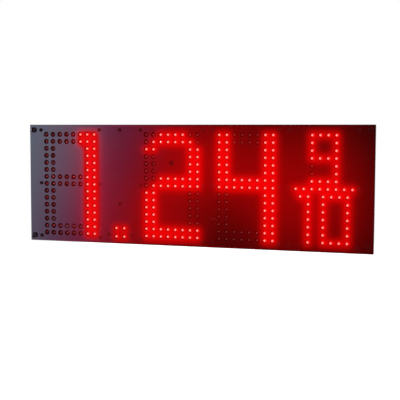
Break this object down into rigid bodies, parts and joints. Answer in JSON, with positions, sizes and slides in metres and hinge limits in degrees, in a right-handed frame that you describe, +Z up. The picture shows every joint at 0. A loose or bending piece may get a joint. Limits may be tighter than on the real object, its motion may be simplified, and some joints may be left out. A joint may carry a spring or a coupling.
{
  "type": "lamp-matrix price display",
  "caption": "Flat black numeral display panel: red lamps in round holes form large figures and a small fraction, with lamp boards and a shallow rear housing for supply, controller and antenna.",
  "frame": {"origin": "middle of the four captive corner screws, at the plane where their threads leave the ears", "axes": "+X to the right seen from the front along the panel's length, +Y from the face towards the rear, +Z up"},
  "size_m": [0.4982, 0.0668, 0.1692],
  "materials": {
    "face_coat": "smooth semi-gloss coat",
    "housing_coat": "fine-textured powder coat",
    "gasket_foam": "matte closed-cell foam",
    "black_screw": "black oxide",
    "zinc_steel": "zinc plated",
    "spacer_nylon": "natural nylon",
    "lamp_board_mask": "black solder mask",
    "lit_lamp": "lit red lens",
    "dark_lamp": "unlit red lens",
    "sensor_lens": "dark lens",
    "chip_body": "moulded epoxy",
    "ribbon_grey": "ribbed PVC",
    "supply_sheet": "plain sheet",
    "supply_laminate": "bare laminate",
    "controller_mask": "blue solder mask",
    "post_brass": "plain",
    "radio_can": "tinned",
    "button_grey": "fine moulded",
    "switch_black": "moulded",
    "rocker_red": "moulded",
    "gland_nylon": "moulded nylon",
    "gland_rubber": "matte",
    "antenna_rubber": "matte moulded",
    "pin_steel": "plain",
    "lead_brown": "PVC",
    "lead_red": "PVC",
    "coax_black": "PVC"
  },
  "bodies": {
    "root": {"face_plate": "face_coat", "rear_frame": "housing_coat", "rear_cover": "housing_coat", "plate_gasket": "gasket_foam", "board_screws": "black_screw", "corner_screws": "black_screw", "board_nuts": "zinc_steel", "corner_clips": "zinc_steel", "frame_studs": "zinc_steel", "frame_nuts": "zinc_steel", "rear_screws": "zinc_steel", "cover_nuts": "zinc_steel", "board_spacers": "spacer_nylon", "ribbon_clip": "spacer_nylon", "digit_1_board": "lamp_board_mask", "digit_2_board": "lamp_board_mask", "digit_3_board": "lamp_board_mask", "point_board": "lamp_board_mask", "fraction_board": "lamp_board_mask", "digit_1_lamps": "lit_lamp", "digit_2_lamps": "lit_lamp", "digit_3_lamps": "lit_lamp", "point_lamps": "lit_lamp", "fraction_lamps": "lit_lamp", "dark_lamps": "dark_lamp", "light_sensor": "sensor_lens", "driver_chips": "chip_body", "board_headers": "chip_body", "controller_chips": "chip_body", "controller_header": "chip_body", "button_switches": "chip_body", "supply_parts": "chip_body", "supply_terminals": "chip_body", "board_ribbons": "ribbon_grey", "feed_ribbon": "ribbon_grey", "supply_case": "supply_sheet", "supply_board": "supply_laminate", "controller_board": "controller_mask", "controller_posts": "post_brass", "switch_tabs": "post_brass", "antenna_socket": "post_brass", "antenna_nut": "post_brass", "radio_module": "radio_can", "switch_body": "switch_black", "gland_body": "gland_nylon", "gland_nut": "gland_nylon", "gland_cap": "gland_nylon", "gland_seal": "gland_rubber", "mains_leads": "lead_brown", "supply_leads": "lead_red", "antenna_lead": "coax_black"},
    "switch_rocker": {"switch_rocker": "rocker_red"},
    "set_button": {"set_button": "button_grey"},
    "up_button": {"up_button": "button_grey"},
    "down_button": {"down_button": "button_grey"},
    "antenna_knuckle": {"antenna_knuckle": "antenna_rubber", "antenna_pin": "pin_steel"},
    "antenna_whip": {"antenna_whip": "antenna_rubber"}
  },
  "joints": [
    {"name": "power_rocker", "type": "hinge", "parent": "root", "child": "switch_rocker", "pos_m": [-0.2052, 0.035, 0.005], "axis": [-1, 0, 0], "range_deg": [0, 20]},
    {"name": "set_press", "type": "slide", "parent": "root", "child": "set_button", "axis": [0, -1, 0], "range_m": [0, 0.001], "stiffness_N_per_m": 1500},
    {"name": "up_press", "type": "slide", "parent": "root", "child": "up_button", "axis": [0, -1, 0], "range_m": [0, 0.001], "stiffness_N_per_m": 1500},
    {"name": "down_press", "type": "slide", "parent": "root", "child": "down_button", "axis": [0, -1, 0], "range_m": [0, 0.001], "stiffness_N_per_m": 1500},
    {"name": "antenna_swivel", "type": "hinge", "parent": "root", "child": "antenna_knuckle", "pos_m": [0.1448, 0.044, -0.04], "axis": [0, 1, 0], "continuous": true},
    {"name": "antenna_tilt", "type": "hinge", "parent": "antenna_knuckle", "child": "antenna_whip", "pos_m": [0.1448, 0.054, -0.04], "axis": [-1, 0, 0], "range_deg": [0, 90]}
  ]
}
